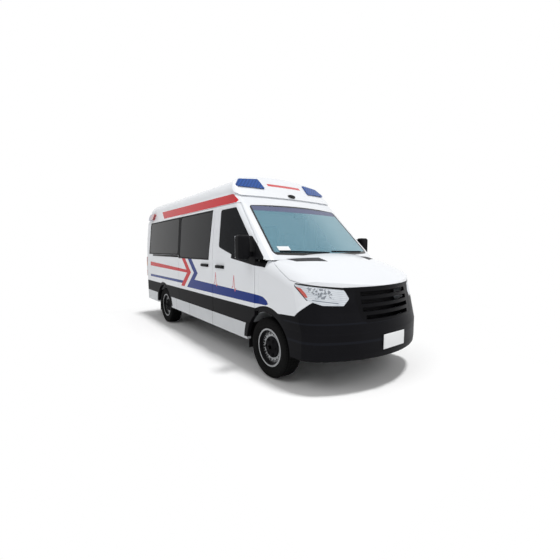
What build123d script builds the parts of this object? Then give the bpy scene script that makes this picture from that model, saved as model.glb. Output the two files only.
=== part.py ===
from build123d import *
import os
from math import atan2, cos, degrees, radians, sin, sqrt

os.makedirs("parts", exist_ok=True)

# An ambulance built on a high-roof panel van.
# Millimetres. +X is forward, +Y is the vehicle's left, +Z is up.
# The origin is on the ground, in the middle of the length and of the width.

# Overall sizes
LENGTH = 5932.0
WHEELBASE = 3665.0
FRONT_OVERHANG = 1031.0
ROOF_CROWN = 2560.0
HALF_WIDTH = 1000.0

# Places that follow from them
NOSE_X = LENGTH / 2
REAR_X = -LENGTH / 2
FRONT_AXLE_X = NOSE_X - FRONT_OVERHANG
REAR_AXLE_X = FRONT_AXLE_X - WHEELBASE

# Walls, gaps and fits
WALL = 55.0
NOSE_WALL = 36.0
GLASS = 6.0
GLASS_INSET = 4.0
DOOR_GAP = 7.0
JOIN = 0.6
SEAT_GAP = 0.3
FAR = 4000.0

# Wheels
TYRE_R = 356.0
TYRE_WIDTH = 235.0
TRACK = 1712.0
RIM_R = 213.0
RIM_WIDTH = 190.0
ARCH_R = 424.0
STUB_R = 32.0
KINGPIN_Y = 770.0
WHEEL_Y = TRACK / 2
AXLE_Z = TYRE_R

# Body heights
SILL_Z = 371.0
DOOR_BOTTOM_Z = 590.0
DOOR_TOP_Z = 2116.0
ROOF_SPLIT_Z = DOOR_TOP_Z + DOOR_GAP
FLOOR_TOP_Z = 690.0
FLOOR_THICK = 50.0
CAB_FLOOR_Z = 640.0

# Doors along the side
DOOR_FRONT_X = 1705.0
DOOR_SLOPE_X = 1200.0
DOOR_SLOPE_Z = 1585.0
PILLAR_X = 554.0
SLIDE_REAR_X = -850.0
REAR_DOOR_HALF = 885.0
REAR_DOOR_BOTTOM_Z = 566.0
REAR_BODY_X = REAR_X + 26.0

# Windscreen plane: the centre of its foot and its lean
SCREEN_FOOT_X = 2020.0
SCREEN_FOOT_Z = 1437.0
SCREEN_LEAN = 1.02
SCREEN_BOW_R = 3900.0
PILLAR_ROUND = 150.0
COWL_Z = 1385.0
FIREWALL_X = 1770.0


# Small helpers

def poly(points, radius=None):
    sketch = make_face(Polyline(*points, close=True))
    if radius:
        sketch = fillet(sketch.vertices(), radius)
    return sketch


def along_x(sketch, low, high):
    return Pos((low + high) / 2, 0, 0) * extrude(Plane.YZ * sketch, (high - low) / 2, both=True)


def along_y(sketch, low, high):
    return Pos(0, (low + high) / 2, 0) * extrude(Plane.XZ * sketch, (high - low) / 2, both=True)


def along_z(sketch, low, high):
    return Pos(0, 0, (low + high) / 2) * extrude(Plane.XY * sketch, (high - low) / 2, both=True)


def block(x0, x1, y0, y1, z0, z1):
    size = Box(abs(x1 - x0), abs(y1 - y0), abs(z1 - z0))
    return Pos((x0 + x1) / 2, (y0 + y1) / 2, (z0 + z1) / 2) * size


def rod_y(radius, x, z, y0, y1):
    return Pos(x, (y0 + y1) / 2, z) * Rot(90, 0, 0) * Cylinder(radius, abs(y1 - y0))


def rod_z(radius, x, y, z0, z1):
    return Pos(x, y, (z0 + z1) / 2) * Cylinder(radius, z1 - z0)


def rod(radius, start, end):
    path = Vector(*end) - Vector(*start)
    plane = Plane(origin=start, z_dir=path)
    return extrude(plane * Circle(radius), path.length)


def mirrored(shape):
    return mirror(shape, Plane.XZ)


def largest(shape):
    return max(shape.solids(), key=lambda s: s.volume)


def save(name, *shapes):
    solids = [s for shape in shapes for s in shape.solids()]
    result = Compound(children=solids) if len(solids) > 1 else solids[0]
    export_step(result, f"parts/{name}.step")


# Body forms. Each is built at a given inset, so that a wall is one form less another.

def body_section():
    half = [
        Line((0, 0), (980, 0)),
        Line((980, 0), (HALF_WIDTH, 700)),
        ThreePointArc((HALF_WIDTH, 700), (992, 1330), (933, 2085)),
        Line((933, 2085), (866, 2300)),
        ThreePointArc((866, 2300), (812, 2422), (690, 2503)),
        ThreePointArc((690, 2503), (350, ROOF_CROWN - 14), (0, ROOF_CROWN)),
    ]
    curve = Curve() + half
    return make_face(curve + mirror(curve, Plane.YZ))


def side_profile():
    points = [
        (REAR_BODY_X, -200),
        (REAR_BODY_X, 1350),
        (REAR_BODY_X + 55, 2120),
        (REAR_BODY_X + 150, 2800),
        (2300, 2800),
        (2300, COWL_Z),
        (FIREWALL_X, COWL_Z),
        (FIREWALL_X, -200),
    ]
    return poly(points)


def screen_outline(z, inset):
    front = SCREEN_FOOT_X - SCREEN_LEAN * (z - SCREEN_FOOT_Z) - inset
    half = HALF_WIDTH - 12 - 0.082 * (z - SCREEN_FOOT_Z) - inset
    bow = SCREEN_BOW_R - inset
    corner = front - (bow - sqrt(bow**2 - half**2))
    edges = Curve() + [
        Line((-FAR, -half), (corner, -half)),
        ThreePointArc((corner, -half), (front, 0), (corner, half)),
        Line((corner, half), (-FAR, half)),
        Line((-FAR, half), (-FAR, -half)),
    ]
    face = make_face(edges)
    corners = face.vertices().sort_by(Axis.X)[-2:]
    return fillet(corners, PILLAR_ROUND - inset)


def cab_front(inset):
    levels = (-300.0, 2750.0)
    return loft([Pos(0, 0, z) * screen_outline(z, inset) for z in levels], ruled=True)


def plan_outline():
    face = poly([(-2 * FAR, -2 * FAR), (2 * FAR, -2 * FAR), (2 * FAR, 2 * FAR), (-2 * FAR, 2 * FAR)])
    corner = poly([(REAR_BODY_X, -1010), (FAR, -1010), (FAR, 1010), (REAR_BODY_X, 1010)])
    rear = corner.vertices().sort_by(Axis.X)[:2]
    return face & fillet(rear, 130)


def hull(inset):
    section = along_x(offset(body_section(), -inset), -FAR, FAR)
    profile = along_y(offset(side_profile(), -inset), -FAR / 2, FAR / 2)
    plan = along_z(offset(plan_outline(), -inset), -FAR, FAR)
    return section & profile & plan & cab_front(inset)


# Nose sections: X, half width, top of the side, shoulder Y and Z, crown Z
NOSE_SECTIONS = [
    (1600.0, 1000.0, 1290.0, 850.0, 1428.0, 1492.0),
    (2200.0, 985.0, 1165.0, 830.0, 1330.0, 1420.0),
    (2600.0, 965.0, 1015.0, 790.0, 1180.0, 1275.0),
    (2860.0, 930.0, 900.0, 740.0, 1040.0, 1112.0),
    (3040.0, 900.0, 800.0, 700.0, 905.0, 960.0),
]
NOSE_BOTTOM_Z = 370.0
# Levels of the nose's plan: Z, centre X
NOSE_LEVELS = [(100.0, 2925.0), (420.0, NOSE_X), (640.0, NOSE_X), (1130.0, 2848.0), (1700.0, 2700.0)]
NOSE_BOW_R = 1500.0
NOSE_CORNER_R = 430.0


def nose_section(x, half, side_top, shoulder_y, shoulder_z, crown, inset):
    h, s, y, z, c = half - inset, side_top - inset, shoulder_y - inset, shoulder_z - inset, crown - inset
    bulge = (y + 0.62 * (h - y) + 8, s + 0.62 * (z - s) + 6)
    quarter = (y * 0.5, z + 0.76 * (c - z))
    curve = Curve() + [
        Line((0, -200), (h, -200)),
        Line((h, -200), (h, s)),
        ThreePointArc((h, s), bulge, (y, z)),
        ThreePointArc((y, z), quarter, (0, c)),
    ]
    face = make_face(curve + mirror(curve, Plane.YZ))
    return Pos(x, 0, 0) * (Plane.YZ * face)


def nose_outline(z, centre, inset):
    half = HALF_WIDTH + 4 - inset
    front = centre - inset
    edge = front - (NOSE_BOW_R - sqrt(NOSE_BOW_R**2 - half**2))
    curve = Curve() + [
        Line((1000, -half), (edge, -half)),
        ThreePointArc((edge, -half), (front, 0), (edge, half)),
        Line((edge, half), (1000, half)),
        Line((1000, half), (1000, -half)),
    ]
    face = make_face(curve)
    corners = face.vertices().sort_by(Axis.X)[-2:]
    return Pos(0, 0, z) * fillet(corners, NOSE_CORNER_R - inset)


def nose(inset):
    form = loft([nose_section(*row, inset) for row in NOSE_SECTIONS])
    plan = loft([nose_outline(z, x, inset) for z, x in NOSE_LEVELS], ruled=True)
    return form & plan


outer = hull(0)
inner = hull(WALL)
shell = (outer - inner) & block(-FAR, FAR, -FAR, FAR, SILL_Z, FAR)
glass_shell = hull(GLASS_INSET) - hull(GLASS_INSET + GLASS)

nose_outer = nose(0)
nose_shell = (nose_outer - nose(NOSE_WALL)) & block(DOOR_FRONT_X + DOOR_GAP, FAR, -FAR, FAR, NOSE_BOTTOM_Z, FAR)

# Openings in the side, as outlines in X and Z

def arch(x, radius):
    return along_y(Pos(x, AXLE_Z) * Circle(radius), -FAR, FAR)


def front_door_outline(gap):
    slope = [(DOOR_SLOPE_X + gap, DOOR_TOP_Z + gap), (DOOR_FRONT_X + gap, DOOR_SLOPE_Z + gap)]
    points = [
        (PILLAR_X + DOOR_GAP / 2 - gap, DOOR_BOTTOM_Z - gap),
        (PILLAR_X + DOOR_GAP / 2 - gap, DOOR_TOP_Z + gap),
        *slope,
        (DOOR_FRONT_X + gap, DOOR_BOTTOM_Z - gap),
    ]
    return poly(points)


def slide_door_outline(gap):
    return poly([
        (SLIDE_REAR_X - gap, DOOR_BOTTOM_Z - gap),
        (SLIDE_REAR_X - gap, DOOR_TOP_Z + gap),
        (PILLAR_X - DOOR_GAP / 2 + gap, DOOR_TOP_Z + gap),
        (PILLAR_X - DOOR_GAP / 2 + gap, DOOR_BOTTOM_Z - gap),
    ])


# Window outlines: corners in X and Z, then the corner radius
FRONT_WINDOW = ([(742, 1540), (758, 2062), (1182, 2062), (1560, 1665), (1560, 1352), (1180, 1385), (1120, 1440)], 40)
SLIDE_WINDOW = ([(-800, 1368), (-800, 2066), (478, 2066), (400, 1368)], 55)
QUARTER_WINDOW = ([(-2700, 1424), (-2640, 2062), (-905, 2066), (-905, 1424)], 55)
REAR_WINDOW = ([(110, 1340), (110, 2030), (760, 2030), (800, 1340)], 60)
SCREEN_WINDOW = [(-862, 1446), (-796, 2092), (796, 2092), (862, 1446)]


def window(spec, shrink=0.0):
    points, radius = spec
    sketch = poly(points, radius)
    return offset(sketch, -shrink) if shrink else sketch


def screen_window(shrink=0.0):
    low, top = SCREEN_WINDOW[:2], SCREEN_WINDOW[2:]
    curve = Curve() + [
        Line(low[0], low[1]),
        ThreePointArc(low[1], (0, 2116), top[0]),
        Line(top[0], top[1]),
        ThreePointArc(top[1], (0, 1426), low[0]),
    ]
    face = fillet(make_face(curve).vertices(), 50)
    return offset(face, -shrink) if shrink else face


# Body panels

def side_zone(side, inside=600.0):
    return block(-FAR, FAR, side * inside, side * 1400, 0, FAR)


front_cut = along_y(front_door_outline(DOOR_GAP), -FAR, FAR)
slide_cut = along_y(slide_door_outline(DOOR_GAP), -FAR, FAR)
front_arches = arch(FRONT_AXLE_X, ARCH_R)
rear_arches = arch(REAR_AXLE_X, ARCH_R)
rear_door_cut = block(-FAR, REAR_BODY_X + 160, -REAR_DOOR_HALF - DOOR_GAP, REAR_DOOR_HALF + DOOR_GAP,
                      REAR_DOOR_BOTTOM_Z - DOOR_GAP, DOOR_TOP_Z + DOOR_GAP)

rear_foot_cut = block(-FAR, REAR_BODY_X + 160, -REAR_DOOR_HALF - DOOR_GAP, REAR_DOOR_HALF + DOOR_GAP, 0, REAR_DOOR_BOTTOM_Z)

front_zone = along_y(poly([
    (DOOR_FRONT_X + DOOR_GAP, 0),
    (DOOR_FRONT_X + DOOR_GAP, DOOR_SLOPE_Z + DOOR_GAP),
    (DOOR_SLOPE_X + DOOR_GAP, DOOR_TOP_Z + DOOR_GAP),
    (FAR, DOOR_TOP_Z + DOOR_GAP),
    (FAR, 0),
]), -FAR, FAR)
lower_body = block(-FAR, FAR, -FAR, FAR, 0, ROOF_SPLIT_Z - SEAT_GAP)

windows_side = along_y(window(QUARTER_WINDOW), -FAR, FAR)
slide_window = along_y(window(SLIDE_WINDOW), -FAR, FAR)
front_window = along_y(window(FRONT_WINDOW), -FAR, FAR)
screen_cut = along_x(screen_window(), 800, 2400)

wall_lower = (shell & lower_body) - rear_door_cut - rear_arches - front_arches
for side, name in ((1, "left"), (-1, "right")):
    panel = (wall_lower & side_zone(side)) - front_zone - front_cut - windows_side
    panel = panel - (slide_window if side > 0 else slide_cut) - rear_foot_cut
    save(f"side_panel_{name}", largest(panel))
    glass = glass_shell & along_y(window(QUARTER_WINDOW, SEAT_GAP), side * 700, side * 1200)
    panes = [largest(glass)]
    if side > 0:
        panes.append(largest(glass_shell & along_y(window(SLIDE_WINDOW, SEAT_GAP), 700, 1200)))
    save(f"side_glass_{name}", *panes)

slide_zone = along_y(slide_door_outline(0), -1400, -700)
slide_door = (shell & slide_zone) - slide_window
save("sliding_door", largest(slide_door))
save("sliding_door_glass", largest(glass_shell & along_y(window(SLIDE_WINDOW, SEAT_GAP), -1200, -700)))

roof = shell & block(-FAR, FAR, -FAR, FAR, ROOF_SPLIT_Z, FAR)
save("roof_panel", largest(roof))

cab_frame = (wall_lower & front_zone & block(0, FAR, -FAR, FAR, CAB_FLOOR_Z + 5, FAR)) - screen_cut
post_cut = block(DOOR_FRONT_X, 1900, HALF_WIDTH - 70, 1200, 0, COWL_Z + 8)
cab_frame = cab_frame - post_cut - mirrored(post_cut)
wheel_room = rod_y(ARCH_R + 10, FRONT_AXLE_X, AXLE_Z, 520, 1200)
cab_frame = cab_frame - wheel_room - mirrored(wheel_room)
save("cab_frame", largest(cab_frame))
save("windscreen", largest(glass_shell & along_x(screen_window(SEAT_GAP), 800, 2400)))

# Front doors
for side, name in ((1, "left"), (-1, "right")):
    zone = along_y(front_door_outline(0), side * 700, side * 1400)
    door = (shell & zone) - front_window - front_arches
    save(f"front_door_{name}", largest(door))
    pane = glass_shell & along_y(window(FRONT_WINDOW, SEAT_GAP), side * 700, side * 1200)
    save(f"front_door_glass_{name}", largest(pane))

# Rear doors
for side, name in ((1, "left"), (-1, "right")):
    zone = block(-FAR, REAR_BODY_X + 160, side * DOOR_GAP / 2, side * REAR_DOOR_HALF, REAR_DOOR_BOTTOM_Z, DOOR_TOP_Z)
    points, radius = REAR_WINDOW
    opening = poly([(side * y, z) for y, z in points], radius)
    door = (shell & zone) - along_x(opening, -FAR, -2000)
    save(f"rear_door_{name}", largest(door))
    pane = glass_shell & along_x(offset(opening, -SEAT_GAP), -FAR, -2000)
    save(f"rear_door_glass_{name}", largest(pane))

# Nose panels. Edges of the bonnet and of the bumper in X and Z.
BONNET_EDGE = [(1934, 1700), (1936, 1378), (2110, 1292), (2330, 1186), (2731, 1112), (3000, 1112)]
BUMPER_EDGE = [(1600, 100), (2196, 100), (2198, 806), (2428, 818), (2607, 984), (3000, 984)]
BONNET_REAR_X = 1940.0
LAMP_CORNERS = [(2284, -900, 1168), (2731, -574, 1104), (2790, -545, 1000), (2760, -600, 930),
                (2650, -790, 940), (2500, -880, 990)]
LAMP_AIM = Vector(0.75, -0.66, 0).normalized()
GRILLE_OUTLINE = [(-440, 1106), (-478, 1010), (-436, 800), (-380, 748), (380, 748), (436, 800), (478, 1010), (440, 1106)]
GRILLE_BARS = [1066.0, 985.0, 904.0, 823.0]
GRILLE_SLOT = 46.0


def above(edge, gap):
    points = [(x, z + gap) for x, z in edge]
    return along_y(poly([*points, (edge[-1][0], FAR), (edge[0][0], FAR)]), -FAR, FAR)


def lamp_prism(side, shrink=0.0):
    across = Vector(-LAMP_AIM.Y, LAMP_AIM.X, 0)
    plane = Plane(origin=(0, 0, 0), x_dir=across, z_dir=LAMP_AIM)
    points = [(Vector(*p).dot(across), z_of(p)) for p in LAMP_CORNERS]
    outline = poly(points, 22)
    if shrink:
        outline = offset(outline, -shrink)
    prism = Pos(LAMP_AIM * 2100) * extrude(plane * outline, 700)
    return prism if side < 0 else mirrored(prism)


def z_of(point):
    return point[2]


body_room = hull(-DOOR_GAP - 1)
nose_clear = (nose_shell - front_arches) - body_room
bonnet_zone = above(BONNET_EDGE, DOOR_GAP / 2) & block(BONNET_REAR_X, FAR, -FAR, FAR, 0, FAR)
below_bonnet = nose_clear - above(BONNET_EDGE, -DOOR_GAP / 2)
lamps = lamp_prism(1) + lamp_prism(-1)
grille_zone = along_x(poly(GRILLE_OUTLINE, 30), 2500, 3200)

# The bonnet ends in front of the cowl's lip, so it swings up past it
under_cowl = along_z(screen_outline(COWL_Z - DOOR_GAP, -DOOR_GAP), 900, COWL_Z + 5)
save("bonnet", largest((nose_clear & bonnet_zone) - under_cowl))

upper_zone = above(BUMPER_EDGE, JOIN) & block(0, 2607, -FAR, FAR, 0, FAR)
for side, name in ((1, "left"), (-1, "right")):
    fender = (below_bonnet & upper_zone & side_zone(side, 300)) - lamps
    save(f"fender_{name}", largest(fender))
    lamp = below_bonnet & lamp_prism(side, JOIN)
    save(f"headlamp_{name}", largest(lamp))

bumper = below_bonnet - (above(BUMPER_EDGE, 0) & block(0, 2607 + JOIN, -FAR, FAR, 0, FAR)) - lamps - grille_zone
save("front_bumper", largest(bumper))

grille = below_bonnet & along_x(offset(poly(GRILLE_OUTLINE, 30), -JOIN), 2500, 3200)
for z in GRILLE_BARS:
    half = 405 if z > 850 else 375
    slot = poly([(-half, z - GRILLE_SLOT), (half, z - GRILLE_SLOT), (half, z), (-half, z)], 10)
    grille = grille - along_x(slot, 2500, 3200)
save("grille", largest(grille))

# Roof: front fairing, beacons and camera housing. Each sits on the form below it.
FAIRING_THICK = 26.0
LENS_PROUD = 22.0
FAIRING_SEAM = [(700, 2700), (1450, 2700), (1450, 2236), (1140, 2236), (960, 2330), (850, 2490)]
LENS_OUTLINE = [(410, 2368), (432, 2526), (735, 2500), (830, 2398), (800, 2376)]
POD_OUTLINE = [(-2780, 2150), (-2780, 2285), (-2450, 2285), (-2450, 2150)]
POD_SPLIT_X = -2615.0
CAMERA_Z = 2285.0

fairing_form = hull(-FAIRING_THICK)
lens_form = hull(-FAIRING_THICK - LENS_PROUD)
roof_seat = hull(-SEAT_GAP)
lens_shell = lens_form - hull(-FAIRING_THICK - SEAT_GAP)
save("roof_fairing", largest((fairing_form - roof_seat) & along_y(poly(FAIRING_SEAM), -FAR, FAR)))

lenses = []
pods = []
for side in (1, -1):
    outline = poly([(side * y, z) for y, z in LENS_OUTLINE], 14)
    lenses.append(largest(lens_shell & along_x(outline, 780, 1500)))
    pod = (lens_form - roof_seat) & along_y(poly(POD_OUTLINE, 55), side * 700, side * 1200)
    for x0, x1 in ((-FAR, POD_SPLIT_X - 1), (POD_SPLIT_X + 1, 0)):
        pods.append(largest(pod & block(x0, x1, -FAR, FAR, 0, FAR)))
save("front_beacons", *lenses)
save("rear_beacons", *pods)
eye = Pos(0, CAMERA_Z) * Ellipse(62, 26)
save("roof_camera", largest(lens_shell & along_x(eye, 780, 1500)))

# Floor with its wheelhouses, and the partition behind the cab
WHEELHOUSE_R = 440.0
WHEELHOUSE_Y = 690.0
PLATE = 12.0
STEP_X = 470.0
CAB_FLOOR_FRONT_X = 1490.0
TOE_X = FIREWALL_X - WALL - JOIN
FRONT_WELL_Y = 505.0
REAR_FLOOR_X = REAR_BODY_X + WALL + 8
PARTITION_X = 420.0
REBATE = 4.0

room = hull(WALL + JOIN)
floor = block(REAR_FLOOR_X, STEP_X, -1000, 1000, FLOOR_TOP_Z - FLOOR_THICK, FLOOR_TOP_Z)
floor = floor + block(STEP_X - 50, CAB_FLOOR_FRONT_X, -1000, 1000, CAB_FLOOR_Z - FLOOR_THICK, CAB_FLOOR_Z)
floor = floor + block(STEP_X - 50, STEP_X, -1000, 1000, CAB_FLOOR_Z - FLOOR_THICK, FLOOR_TOP_Z)
nose_floor = block(CAB_FLOOR_FRONT_X - 1, TOE_X, -FRONT_WELL_Y, FRONT_WELL_Y, CAB_FLOOR_Z - FLOOR_THICK, CAB_FLOOR_Z)
floor = (floor & room) + nose_floor
# The partition stands in a rebate, which leaves the load floor clear
floor = floor - block(PARTITION_X - 4, STEP_X + 1, -FAR, FAR, FLOOR_TOP_Z - REBATE, FLOOR_TOP_Z + 1)
for side in (1, -1):
    tunnel = rod_y(WHEELHOUSE_R, REAR_AXLE_X, AXLE_Z, side * WHEELHOUSE_Y, side * 1200)
    house = rod_y(WHEELHOUSE_R + PLATE, REAR_AXLE_X, AXLE_Z, side * (WHEELHOUSE_Y - PLATE), side * 1000) - tunnel
    house = house & room & block(-FAR, FAR, -FAR, FAR, FLOOR_TOP_Z - FLOOR_THICK, FAR)
    floor = (floor - tunnel) + house
    well = rod_y(WHEELHOUSE_R, FRONT_AXLE_X, AXLE_Z, side * (FRONT_WELL_Y + PLATE), side * 1200)
    guard = rod_y(WHEELHOUSE_R + PLATE, FRONT_AXLE_X, AXLE_Z, side * FRONT_WELL_Y, side * 925) - well
    guard = guard & block(CAB_FLOOR_FRONT_X - 30, TOE_X, -FAR, FAR, CAB_FLOOR_Z - FLOOR_THICK, FAR)
    floor = (floor - well) + guard
save("floor", largest(floor))

partition = (room & block(PARTITION_X, PARTITION_X + 32, -FAR, FAR, FLOOR_TOP_Z - REBATE, 2105)) - along_x(
    poly([(-320, 1420), (-320, 1900), (320, 1900), (320, 1420)], 50), 0, 900)
save("partition", largest(partition))

# Chassis frame
RAIL_Y0, RAIL_Y1 = 395.0, 465.0
RAIL_Z0, RAIL_Z1 = 440.0, FLOOR_TOP_Z - FLOOR_THICK - 60
CROSS_XS = [-2800.0, -2250.0, -1300.0, -600.0, 150.0, 900.0, 1480.0]
CROSS_Z0 = 510.0
JACK_XS = [1200.0, -800.0]
JACK_Z = 424.0
RAIL_REAR_X, RAIL_FRONT_X = REAR_BODY_X + 60, 2690.0
frame = block(RAIL_REAR_X, RAIL_FRONT_X, RAIL_Y0, RAIL_Y1, RAIL_Z0, RAIL_Z1)
frame = frame + mirrored(frame)
horn = block(RAIL_FRONT_X - 1, FAR, RAIL_Y0, RAIL_Y1, RAIL_Z0, RAIL_Z1) & nose(NOSE_WALL + SEAT_GAP)
frame = frame + horn + mirrored(horn)
for x in CROSS_XS:
    frame = frame + block(x - 35, x + 35, -RAIL_Y1, RAIL_Y1, CROSS_Z0, RAIL_Z1)
for x in CROSS_XS[:-2]:
    for side in (1, -1):
        frame = frame + block(x - 30, x + 30, side * RAIL_Y0, side * RAIL_Y1, RAIL_Z1 - 5, FLOOR_TOP_Z - FLOOR_THICK)
for side in (1, -1):
    frame = frame + block(870, 930, side * RAIL_Y0, side * RAIL_Y1, RAIL_Z1 - 5, CAB_FLOOR_Z - FLOOR_THICK)
for x in JACK_XS:
    for side in (1, -1):
        frame = frame + block(x - 80, x + 80, side * RAIL_Y0, side * RAIL_Y1, JACK_Z, RAIL_Z0 + 1)
save("chassis_frame", largest(frame))

# Front suspension: a crossmember with lower arms, and upper arms on the rails
ARM_HALF = 34.0
PAD_R = 27.0
KNUCKLE_Z0, KNUCKLE_Z1 = 225.0, 490.0
beam = block(FRONT_AXLE_X - 80, FRONT_AXLE_X + 80, -RAIL_Y1, RAIL_Y1, 195, 335)
uppers = []
for side in (1, -1):
    beam = beam + block(FRONT_AXLE_X - 60, FRONT_AXLE_X + 60, side * RAIL_Y0, side * RAIL_Y1, 330, RAIL_Z0)
    beam = beam + block(FRONT_AXLE_X - ARM_HALF, FRONT_AXLE_X + ARM_HALF, side * 440, side * KINGPIN_Y, 198, 222)
    beam = beam + rod_z(PAD_R, FRONT_AXLE_X, side * KINGPIN_Y, 198, KNUCKLE_Z0 - SEAT_GAP)
    arm = block(FRONT_AXLE_X - ARM_HALF, FRONT_AXLE_X + ARM_HALF, side * RAIL_Y1, side * KINGPIN_Y, 494, 516)
    uppers.append(arm + rod_z(PAD_R, FRONT_AXLE_X, side * KINGPIN_Y, KNUCKLE_Z1 + SEAT_GAP, 516))
save("front_suspension", beam, *uppers)

# Wheels: the left pair is drawn, the right pair is its mirror image
LIP_R = 226.0
FLANGE_W = 88.0
DISC_W0, DISC_W1 = 30.0, 42.0
HUB_R = 78.0
SLOTS = 16
SLOT_R = 172.0
# Half of the tyre's cross-section: radius, distance from its middle plane
TYRE_PROFILE = [(RIM_R + SEAT_GAP, 0), (RIM_R + SEAT_GAP, FLANGE_W - 0.3), (LIP_R + 0.4, FLANGE_W - 0.3), (236, 103),
                (262, 114), (292, 117.5), (322, 114), (342, 104), (352, 92), (TYRE_R, 78), (TYRE_R, 0)]


def ring(profile):
    face = Plane.XY * make_face(Polyline(*profile, close=True))
    return revolve(face, Axis.Y, 360)


def tyre_solid():
    far = [(r, -w) for r, w in reversed(TYRE_PROFILE[1:-1])]
    return ring(TYRE_PROFILE[1:-1] + far)


def rim_solid():
    half = RIM_WIDTH / 2
    barrel = ring([(RIM_R - 9, -half), (LIP_R, -half), (LIP_R, -FLANGE_W), (RIM_R, -FLANGE_W), (RIM_R, FLANGE_W),
                   (LIP_R, FLANGE_W), (LIP_R, half), (RIM_R - 9, half)])
    disc = ring([(STUB_R + SEAT_GAP, DISC_W0), (RIM_R - 4, DISC_W0), (RIM_R - 4, DISC_W1 + 10), (RIM_R - 30, DISC_W1 + 10),
                 (HUB_R + 30, DISC_W1), (HUB_R, DISC_W1), (HUB_R - 8, DISC_W1 + 22), (STUB_R + SEAT_GAP, DISC_W1 + 22)])
    slot = Pos(SLOT_R, 40, 0) * Box(30, 60, 22)
    for i in range(SLOTS):
        disc = disc - Rot(0, 360 * i / SLOTS, 0) * slot
    return barrel + disc


tyre = tyre_solid()
rim = rim_solid()
for x, end in ((FRONT_AXLE_X, "front"), (REAR_AXLE_X, "rear")):
    place = Pos(x, WHEEL_Y, AXLE_Z)
    save(f"tyre_{end}_left", place * tyre)
    save(f"rim_{end}_left", place * rim)
    save(f"tyre_{end}_right", mirrored(place * tyre))
    save(f"rim_{end}_right", mirrored(place * rim))

# Steering knuckles with hub and stub
HUB_FACE_Y = WHEEL_Y + DISC_W0 - SEAT_GAP
knuckle = block(FRONT_AXLE_X - 32, FRONT_AXLE_X + 32, KINGPIN_Y - 24, KINGPIN_Y + 24, KNUCKLE_Z0, KNUCKLE_Z1)
knuckle = knuckle + rod_y(STUB_R, FRONT_AXLE_X, AXLE_Z, KINGPIN_Y, WHEEL_Y + DISC_W1 + 30)
knuckle = knuckle + rod_y(HUB_R, FRONT_AXLE_X, AXLE_Z, KINGPIN_Y + 60, HUB_FACE_Y)
knuckle = knuckle + rod_y(128, FRONT_AXLE_X, AXLE_Z, KINGPIN_Y + 26, KINGPIN_Y + 52)
knuckle = knuckle + rod_y(60, FRONT_AXLE_X, AXLE_Z, KINGPIN_Y, HUB_FACE_Y)
save("knuckle_left", knuckle)
save("knuckle_right", mirrored(knuckle))

# Rear axle, leaf springs and propeller shaft
SPRING_Y = 540.0
PINION_LENGTH = 220.0
axle = rod_y(52, REAR_AXLE_X, AXLE_Z, -HUB_FACE_Y, HUB_FACE_Y) + rod_y(
    STUB_R, REAR_AXLE_X, AXLE_Z, -(WHEEL_Y + DISC_W1 + 30), WHEEL_Y + DISC_W1 + 30)
axle = axle + Pos(REAR_AXLE_X, 0, AXLE_Z) * Sphere(145)
axle = axle + rod(60, (REAR_AXLE_X, 0, AXLE_Z + 10), (REAR_AXLE_X + PINION_LENGTH, 0, AXLE_Z + 10))
for side in (1, -1):
    axle = axle + rod_y(140, REAR_AXLE_X, AXLE_Z, side * 740, side * 800)
    axle = axle + rod_y(HUB_R, REAR_AXLE_X, AXLE_Z, side * 800, side * HUB_FACE_Y)
    axle = axle + block(REAR_AXLE_X - 70, REAR_AXLE_X + 70, side * (SPRING_Y - 45), side * (SPRING_Y + 45),
                        AXLE_Z - 20, AXLE_Z + 60)
save("rear_axle", axle)

SPRING_ENDS = (-2380.0, -1080.0)
spring_mid = AXLE_Z + 60
leaf_low = ThreePointArc((SPRING_ENDS[0], 540), (REAR_AXLE_X, spring_mid), (SPRING_ENDS[1], 540))
leaf_high = ThreePointArc((SPRING_ENDS[1], 556), (REAR_AXLE_X, spring_mid + 34), (SPRING_ENDS[0], 556))
leaf_face = make_face(Curve() + [leaf_low, Line((SPRING_ENDS[1], 540), (SPRING_ENDS[1], 556)), leaf_high,
                                 Line((SPRING_ENDS[0], 556), (SPRING_ENDS[0], 540))])
springs = []
for side in (1, -1):
    leaf = along_y(leaf_face, side * (SPRING_Y - 35), side * (SPRING_Y + 35))
    for x in SPRING_ENDS:
        leaf = leaf + block(x - 25, x + 25, side * (SPRING_Y - 35), side * (SPRING_Y + 35), 545,
                            FLOOR_TOP_Z - FLOOR_THICK)
    springs.append(leaf)
save("leaf_springs", *springs)

GEARBOX_REAR_X = 1400.0
shaft = rod(42, (GEARBOX_REAR_X - 2.2, 0, 450), (REAR_AXLE_X + PINION_LENGTH + 2.2, 0, AXLE_Z + 10))
save("propeller_shaft", shaft)

# Engine with gearbox, radiator, fuel tank and exhaust
engine = block(1960, 2570, -280, 280, 340, 1090) + block(GEARBOX_REAR_X, 1962, -150, 150, 345, CAB_FLOOR_Z - FLOOR_THICK - 82)
save("engine", engine)
save("engine_mounts", block(2200, 2300, 280, RAIL_Y0, 450, 540), block(2200, 2300, -280, -RAIL_Y0, 450, 540))
save("radiator", block(2640, 2690, -RAIL_Y0 + 5, RAIL_Y0 - 5, 430, 1070) + block(
    2640, 2690, -RAIL_Y1, RAIL_Y1, RAIL_Z1, RAIL_Z1 + 60))
tank = block(-150, 480, 480, 800, 330, CAB_FLOOR_Z - FLOOR_THICK)
save("fuel_tank", fillet(tank.edges().filter_by(Axis.X), 45) & block(-FAR, FAR, -FAR, FAR, 0, CAB_FLOOR_Z - FLOOR_THICK))
pipe = rod(30, (1380, -240, 400), (-1000, -240, 400)) + rod(30, (-1000, -210, 400), (-1000, -900, 400))
pipe = pipe + rod(95, (400, -240, 400), (-300, -240, 400))
hanger = block(130, 170, -260, -220, 400, CROSS_Z0)
save("exhaust", pipe + hanger)

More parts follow.
